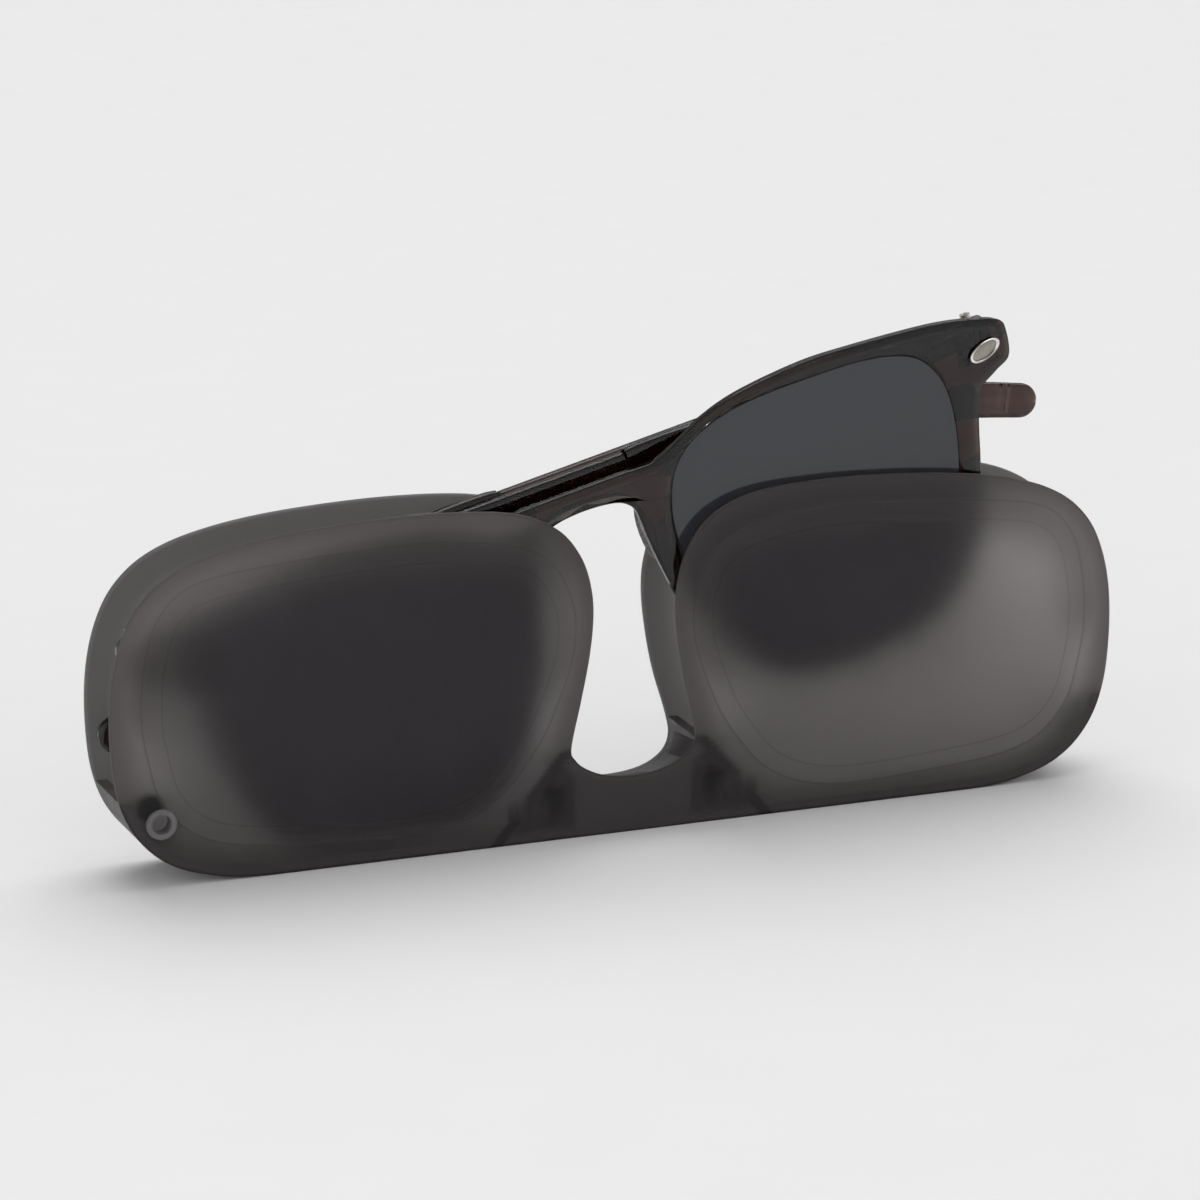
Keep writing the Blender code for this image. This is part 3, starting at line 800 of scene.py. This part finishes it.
class GLASSES_OT_front(bpy.types.Operator):
    """Makes the one-piece front frame: a bevelled section carried round each lens opening, with
    both halves welded at the bridge"""

    bl_idname = "sunglasses.front_frame"
    bl_label = "Front frame"

    def execute(self, context):
        settings = context.scene.sunglasses
        outline = FRAME_OUTLINE + [(-p, q) for p, q in reversed(FRAME_OUTLINE[1:-1])]
        half = smooth_path(outline, 8)[: (len(FRAME_OUTLINE) - 1) * 8 + 1]
        half[[0, -1], 0] = 0
        outer = spaced(half, 380)
        inner = matched(outer, spaced(smooth_path(LENS_OUTLINE, 10), 900, closed=True))
        out_in = inward(outer, closed=False)
        out_in[[0, -1], 0] = 0
        lens_out = -inward(inner, closed=False)
        front, back, bevel = FRAME_FRONT_Y, FRAME_BACK_Y, settings.bevel

        edge_section = (
            (1.2, back), (0.2, back - 0.7), (0.0, back - 1.1), (0.0, front + 0.62),
            (0.1, front + 0.48), (bevel, front + 0.1), (bevel + 0.2, front + 0.04),
        )  # fmt: skip
        lens_section = (
            (0.5, front + 0.04), (0.36, front + 0.1), (0.05, front + 0.42), (0.0, front + 0.6),
            (0.0, back - 1.1), (0.15, back - 0.9), (0.9, back),
        )  # fmt: skip
        edge_rings = [at_depth(outer + out_in * distance, y) for distance, y in edge_section]
        lens_rings = [at_depth(inner + lens_out * distance, y) for distance, y in lens_section]
        face = [edge_rings[-1] * (1 - t) + lens_rings[0] * t for t in (0.25, 0.5, 0.75)]
        for ring in face:
            ring[:, 1] = front
        rear = [lens_rings[-1] * (1 - t) + edge_rings[0] * t for t in (0.33, 0.67)]
        rings = np.array(edge_rings + face + lens_rings + rear)
        rings = seated_rings(rings)
        quads = ring_faces(*rings["right"].shape[:2], wrap_rows=True)
        walls = np.arange(len(quads)) < len(edge_rings) - 1
        quads = np.concatenate([quads[~walls].reshape(-1, 4), quads[walls][:, :-1].reshape(-1, 4)])
        count = rings["right"].shape[0] * rings["right"].shape[1]
        points = np.concatenate([rings["right"].reshape(-1, 3), rings["left"].reshape(-1, 3)])
        faces = np.concatenate([quads, quads[:, ::-1] + count])
        piece = new_piece(
            "acetate_front", points, faces, [material_of("acetate")], "glasses", 24
        )
        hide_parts("front_frame")
        return {"FINISHED"}


def seated_rings(rings):
    """The right-hand rings and their mirror image, both moved onto the seat."""
    p, y, q = rings[..., 0], rings[..., 1], rings[..., 2]
    return {side: seated(p * sign, q, y) for side, sign in SIDES}


class GLASSES_OT_lenses(bpy.types.Operator):
    """Makes the two lenses, each a plate with a slight crown and a ground edge"""

    bl_idname = "sunglasses.lenses"
    bl_label = "Lenses"

    def execute(self, context):
        count, into_rim, edge_slope, crown = 260, 0.25, 0.3, 0.12
        loop = spaced(smooth_path(LENS_OUTLINE, 10), count, closed=True)
        loop = loop - inward(loop) * into_rim
        centre = loop.mean(0)
        low, high = (corner.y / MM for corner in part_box("right_lens"))
        rings = []
        for share in np.linspace(0, 1, 16):
            flat = centre + share * (loop + inward(loop) * edge_slope - centre)
            rings.append(at_depth(flat, low + crown * share**2))
        for y in (low + 0.4, high - 0.3):
            rings.append(at_depth(loop, y))
        for share in np.linspace(1, 0, 8):
            flat = centre + share * (loop + inward(loop) * edge_slope - centre)
            rings.append(at_depth(flat, high))
        rings = np.array(rings)
        faces = ring_faces(*rings.shape[:2]).reshape(-1, 4)
        for side, points in seated_rings(rings).items():
            lens = new_piece(f"{side}_tinted_lens", points, faces, [material_of("lens")], "glasses")
            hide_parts(f"{side}_lens")
        return {"FINISHED"}


def temple_section(count):
    """A soft-cornered upright section with a shallow groove along each broad side. Across and up
    both run from -1 to 1."""
    turn = full_turn(count)
    power = 2 / 3.6
    across = np.sign(np.cos(turn)) * np.abs(np.cos(turn)) ** power
    up = np.sign(np.sin(turn)) * np.abs(np.sin(turn)) ** power
    groove = 0.16 * np.exp(-(((up + 0.1) / 0.24) ** 2))
    return across * (1 - groove), up


def temple_rings(middles, ups, heights, thick, y, scale):
    """The section carried along a line, scaled by scale at each step, as rings of points."""
    across, up = temple_section(40)
    rise = up[None] * (heights * scale)[:, None] / 2
    flat = middles[:, None, :] + ups[:, None, :] * rise[..., None]
    depth = y[:, None] + across[None] * (thick * scale)[:, None] / 2
    return np.stack([flat[..., 0], depth, flat[..., 1]], -1)


class GLASSES_OT_temples(bpy.types.Operator):
    """Makes both temples: a slim bar from the hinge, and a drooping sleeve with a round tip"""

    bl_idname = "sunglasses.temples"
    bl_label = "Temples"

    def execute(self, context):
        for side, sign in SIDES:
            self.bar(side, sign)
            self.sleeve(side, sign)
        return {"FINISHED"}

    def bar(self, side, sign):
        """The straight bar, thinned on its outer face where the hinge lies over it."""
        play, height, hinge_cut, cut_span = 0.02, 3.8, 0.62, (2.2, 1.3)
        low, high = (corner.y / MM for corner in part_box(f"{side}_temple_bar"))
        root = HINGE_P + ROOT_PAST_AXIS[side]
        shares = np.concatenate([[0, 0.0005, 0.002, 0.005], np.linspace(0.01, 1, 70)])
        p = root - shares * (root - BAR_END_P)
        scale = np.ones_like(p)
        scale[:3] = (0.0, 0.7, 0.93)
        scale[-1] = 0.0
        p[-2] = p[-1]
        thick = np.full_like(p, high - low - play)
        near = ease(np.abs(p - HINGE_P), *cut_span)
        thick -= hinge_cut * near
        y = (low + high) / 2 + hinge_cut / 2 * near
        middles = np.stack([p, np.full_like(p, HINGE_Q)], -1)
        ups = np.tile([0.0, 1.0], (len(p), 1))
        rings = temple_rings(middles, ups, np.full_like(p, height), thick, y, scale)
        points = seated(rings[..., 0] * sign, rings[..., 2], rings[..., 1])
        faces = ring_faces(*rings.shape[:2]).reshape(-1, 4)
        bar = new_piece(
            f"{side}_bar", points, faces, [material_of("acetate")], f"{side}_temple", 30
        )
        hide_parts(f"{side}_temple_bar")

    def sleeve(self, side, sign):
        """The drooping sleeve, higher at its root, with a round tip and three cross grooves."""
        play, tip_steps = 0.02, 12
        low, high = (corner.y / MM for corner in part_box(f"{side}_temple_sleeve"))
        line = smooth_path(np.column_stack([SLEEVE_LINE, SLEEVE_HEIGHTS]), 14, closed=False)
        line = spaced(line, 90)
        middles = line[:, :2]
        heights = line[:, 2] + SLEEVE_STEP * (1 - ease(line[:, 0], *SLEEVE_STEP_SPAN))
        along = np.gradient(middles, axis=0)
        along /= np.linalg.norm(along, axis=1)[:, None]
        along[:6] = (1.0, 0.0)
        ups = np.stack([-along[:, 1], along[:, 0]], -1)
        scale = np.ones(len(line))
        scale[:3] = (0.0, 0.9, 0.99)
        middles[1] = middles[0]
        tip = np.radians(np.linspace(8, 90, tip_steps))
        reach = heights[-1] / 2
        tip_middles = middles[-1] + along[-1] * np.sin(tip)[:, None] * reach
        middles = np.vstack([middles, tip_middles])
        ups = np.vstack([ups, np.tile(ups[-1], (tip_steps, 1))])
        heights = np.concatenate([heights, heights[-1] * np.cos(tip)])
        scale = np.concatenate([scale, np.ones(tip_steps)])
        thick = np.full(len(middles), high - low - play)
        thick[-tip_steps:] *= np.cos(tip) ** 0.45
        run = middles[:, 0]
        for place in SLEEVE_GROOVES:
            thick -= GROOVE_DEPTH * np.exp(-(((run - place) / GROOVE_HALF_WIDTH) ** 2))
        y = np.full(len(middles), (low + high) / 2)
        rings = temple_rings(middles, ups, heights, thick, y, scale)
        points = seated(rings[..., 0] * -sign, rings[..., 2], rings[..., 1])
        faces = ring_faces(*rings.shape[:2]).reshape(-1, 4)
        sleeve = new_piece(
            f"{side}_sleeve", points, faces, [material_of("acetate")], f"{side}_temple", 30
        )
        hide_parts(f"{side}_temple_sleeve")


class GLASSES_OT_plaques(bpy.types.Operator):
    """Makes the two oval plaques: a bright rolled rim round a domed pewter middle"""

    bl_idname = "sunglasses.plaques"
    bl_label = "Rivet plaques"

    def execute(self, context):
        low, high = (corner.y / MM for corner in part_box("right_rivet_plaque"))
        turn = full_turn(56)
        profile = [
            (0.0, 0.08), (0.25, 0.09), (0.5, 0.14), (0.68, 0.24), (0.76, 0.3), (0.8, 0.22),
            (0.86, 0.03), (0.92, 0.0), (0.97, 0.06), (1.0, 0.18), (1.0, high - low),
            (0.5, high - low), (0.0, high - low),
        ]  # fmt: skip
        radius, depth = (np.array(column)[:, None] for column in zip(*profile))
        across = PLAQUE_HALF[0] * radius * np.cos(turn)
        p = PLAQUE_MIDDLE[0] + across
        q = PLAQUE_MIDDLE[1] + PLAQUE_HALF[1] * radius * np.sin(turn) + PLAQUE_LEAN * across
        rings = np.stack([p, np.broadcast_to(low + depth, p.shape), q], -1)
        faces = ring_faces(*rings.shape[:2]).reshape(-1, 4)
        for side, points in seated_rings(rings).items():
            finishes = [material_of("bezel"), material_of("pewter")]
            plaque = new_piece(f"{side}_plaque", points, faces, finishes, "glasses", 50)
            self.paint(plaque.data, side)
            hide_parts(f"{side}_rivet_plaque")
        return {"FINISHED"}

    def paint(self, mesh, side):
        """Gives the faces inside the bright rim the pewter finish."""
        centres = np.empty(len(mesh.polygons) * 3, np.float32)
        mesh.polygons.foreach_get("center", centres)
        centres = centres.reshape(-1, 3).astype(float) / MM
        turn, lean = math.cos(SEAT_TILT), math.sin(SEAT_TILT)
        x, z = centres[:, 0] - SEAT[0], centres[:, 2] - SEAT[1]
        p = (x * turn + z * lean) * dict(SIDES)[side] - PLAQUE_MIDDLE[0]
        q = z * turn - x * lean - PLAQUE_MIDDLE[1] - PLAQUE_LEAN * p
        share = np.hypot(p / PLAQUE_HALF[0], q / PLAQUE_HALF[1])
        mesh.polygons.foreach_set("material_index", (share < PEWTER_SHARE).astype(np.int32))


class GLASSES_OT_fittings(bpy.types.Operator):
    """Finishes the hinges, screws and nose pads"""

    bl_idname = "sunglasses.fittings"
    bl_label = "Hinges, screws and nose pads"

    def execute(self, context):
        for kind in ("front_hinge", "hinge_screw", "temple_hinge"):
            refinish([f"{side}_{kind}" for side, _ in SIDES], "hinge")
        refinish([f"{side}_nose_pad" for side, _ in SIDES], "pad")
        return {"FINISHED"}


# ---------------------------------------------------------------- stage


class STAGE_OT_build(bpy.types.Operator):
    """Makes the pale floor, the soft studio light and the camera"""

    bl_idname = "studio.stage"
    bl_label = "Stage"

    def execute(self, context):
        stage = context.scene.studio
        mesh = bpy.data.meshes.new("floor")
        signs = ((-1, -1), (1, -1), (1, 1), (-1, 1))
        corners = [(x * FLOOR_HALF, y * FLOOR_HALF, 0) for x, y in signs]
        mesh.from_pydata(corners, [], [(0, 1, 2, 3)])
        floor = bpy.data.objects.new("floor", mesh)
        floor.location.z = -FLOOR_DROP
        mesh.materials.append(paper("pale_paper", tuple(stage.floor)))
        context.scene.collection.objects.link(floor)
        self.sky(context.scene, stage)
        self.sun("key", stage.key, KEY_DIRECTION, KEY_SPREAD)
        self.panel("side_strip", STRIP_POWER, STRIP_PLACE, STRIP_SIZE)
        self.camera(context.scene)
        context.scene.view_settings.view_transform = "Standard"
        return {"FINISHED"}

    def sky(self, scene, stage):
        """A plain sky that dims towards the top, and also behind the case."""
        world = bpy.data.worlds.new("studio_sky")
        world.use_nodes = True
        tree = world.node_tree
        place = tree.nodes.new("ShaderNodeTexCoord")
        split = tree.nodes.new("ShaderNodeSeparateXYZ")
        tree.links.new(place.outputs["Generated"], split.inputs[0])
        upwards, backwards = (0.0, 0.9), (0.2, 0.75)
        level = between(tree, split.outputs["Z"], stage.sky_low, stage.sky_high, *upwards)
        behind = between(tree, split.outputs["Y"], 1.0, stage.sky_behind, *backwards)
        sky = tree.nodes["Background"]
        sky.inputs["Color"].default_value = (1.0, 1.0, 1.0, 1)
        tree.links.new(maths(tree, "MULTIPLY", level, behind), sky.inputs["Strength"])
        scene.world = world

    def sun(self, name, power, direction, spread):
        """A distant lamp that shines from direction, spread over an angle in radians."""
        lamp = bpy.data.lights.new(name, "SUN")
        lamp.energy = power
        lamp.angle = spread
        obj = bpy.data.objects.new(name, lamp)
        obj.rotation_mode = "QUATERNION"
        obj.rotation_quaternion = Vector(direction).to_track_quat("Z", "Y")
        bpy.context.scene.collection.objects.link(obj)

    def panel(self, name, power, place, size):
        """An oblong lamp turned towards the case."""
        lamp = bpy.data.lights.new(name, "AREA")
        lamp.shape = "RECTANGLE"
        lamp.size, lamp.size_y = size
        lamp.energy = power
        obj = bpy.data.objects.new(name, lamp)
        obj.location = place
        obj.rotation_mode = "QUATERNION"
        obj.rotation_quaternion = (Vector(place) - Vector(STRIP_TARGET)).to_track_quat("Z", "Y")
        bpy.context.scene.collection.objects.link(obj)

    def camera(self, scene):
        """A long lens, aimed from the front, a little from the left and above."""
        angles = (CAMERA_AROUND, CAMERA_ABOVE, CAMERA_ROLL)
        around, above, roll = (math.radians(angle) for angle in angles)
        target = Vector(CAMERA_TARGET_MM) * MM
        back = Vector(
            (
                math.sin(around) * math.cos(above),
                -math.cos(around) * math.cos(above),
                math.sin(above),
            )
        )
        lens = bpy.data.cameras.new("camera")
        lens.lens = CAMERA_LENS_MM
        lens.sensor_width = CAMERA_SENSOR_MM
        lens.clip_start = 0.01
        camera = bpy.data.objects.new("camera", lens)
        camera.location = target + back * CAMERA_DISTANCE
        camera.rotation_mode = "QUATERNION"
        camera.rotation_quaternion = (-back).to_track_quat("-Z", "Y") @ Quaternion((0, 0, 1), roll)
        scene.collection.objects.link(camera)
        scene.camera = camera


# ---------------------------------------------------------------- settings, panel and main


class SlipCaseSettings(bpy.types.PropertyGroup):
    edge_round: FloatProperty(
        name="Edge rounding", description="Radius of the front walls' edges, in mm", default=0.5, min=0.1,
        max=0.54,
    )
    shoulder_drop: FloatProperty(
        name="Shoulder drop", description="How far the margin lies behind the pillow, in mm", default=0.34,
    )
    shoulder_width: FloatProperty(
        name="Shoulder width", description="Width of the slope round the pillow, in mm", default=1.9,
        min=0.1,
    )
    crease: FloatProperty(
        name="Crease", description="Depth of the line at the slope's foot, in mm", default=0.07,
    )
    front_glow: FloatVectorProperty(
        name="Front tint", description="Light let through by each skin of the front", subtype="COLOR",
        default=(0.7, 0.68, 0.675),
    )
    back_glow: FloatVectorProperty(
        name="Back tint", description="Light let through by each skin of the back", subtype="COLOR",
        default=(0.535, 0.53, 0.525),
    )
    keel_glow: FloatVectorProperty(
        name="Keel tint", description="Light let through by each skin of the keel", subtype="COLOR",
        default=(0.2, 0.18, 0.18),
    )
    keel_body: FloatVectorProperty(
        name="Keel body", description="Colour of the thick parts", subtype="COLOR",
        default=(0.047, 0.043, 0.0435),
    )
    skin: FloatVectorProperty(
        name="Skin", description="Colour of the surface itself", subtype="COLOR",
        default=(0.004, 0.0036, 0.005),
    )


class SunglassesSettings(bpy.types.PropertyGroup):
    bevel: FloatProperty(
        name="Bevel", description="Width of the front frame's outer bevel, in mm", default=0.95,
    )
    tint: FloatVectorProperty(
        name="Tint", description="Colour that the acetate takes with depth", subtype="COLOR",
        default=(0.5, 0.36, 0.32),
    )
    depth: FloatProperty(
        name="Depth", description="How fast the acetate darkens, per metre", default=3100.0,
    )
    lens: FloatVectorProperty(
        name="Lens", description="Colour of the lenses", subtype="COLOR", default=(0.033, 0.035, 0.042),
    )


class StudioSettings(bpy.types.PropertyGroup):
    floor: FloatVectorProperty(
        name="Floor", description="Colour of the floor", subtype="COLOR", default=(0.94, 0.94, 0.94),
    )
    key: FloatProperty(
        name="Key", description="Strength of the soft sun", default=1.58,
    )
    sky_low: FloatProperty(
        name="Low sky", description="Brightness of the sky at the horizon", default=0.97,
    )
    sky_behind: FloatProperty(
        name="Sky behind", description="Share of the sky's light kept behind", default=0.45,
    )
    sky_high: FloatProperty(
        name="High sky", description="Brightness of the sky overhead", default=0.3,
    )


STEPS = (
    CASE_OT_front_skins,
    CASE_OT_back_wall,
    CASE_OT_keel,
    CASE_OT_pegs,
    GLASSES_OT_front,
    GLASSES_OT_lenses,
    GLASSES_OT_temples,
    GLASSES_OT_plaques,
    GLASSES_OT_fittings,
    STAGE_OT_build,
)


class SLIPCASE_PT_panel(bpy.types.Panel):
    """Lists the settings and the steps that build each group of pieces"""

    bl_label = "Slip case"
    bl_idname = "SLIPCASE_PT_panel"
    bl_space_type = "VIEW_3D"
    bl_region_type = "UI"
    bl_category = "Slip case"

    def draw(self, context):
        for group in (context.scene.slip_case, context.scene.sunglasses, context.scene.studio):
            for name in group.__annotations__:
                self.layout.prop(group, name)
        for step in STEPS:
            self.layout.operator(step.bl_idname)


GROUPS = {"slip_case": SlipCaseSettings, "sunglasses": SunglassesSettings, "studio": StudioSettings}


def register():
    for kind in (*GROUPS.values(), *STEPS, SLIPCASE_PT_panel):
        bpy.utils.register_class(kind)
    for name, group in GROUPS.items():
        setattr(bpy.types.Scene, name, PointerProperty(type=group))


def unregister():
    for name in GROUPS:
        delattr(bpy.types.Scene, name)
    for kind in (SLIPCASE_PT_panel, *STEPS, *GROUPS.values()):
        bpy.utils.unregister_class(kind)


def main():
    register()
    for step in STEPS:
        group, action = step.bl_idname.split(".")
        getattr(getattr(bpy.ops, group), action)()


if __name__ == "__main__":
    main()
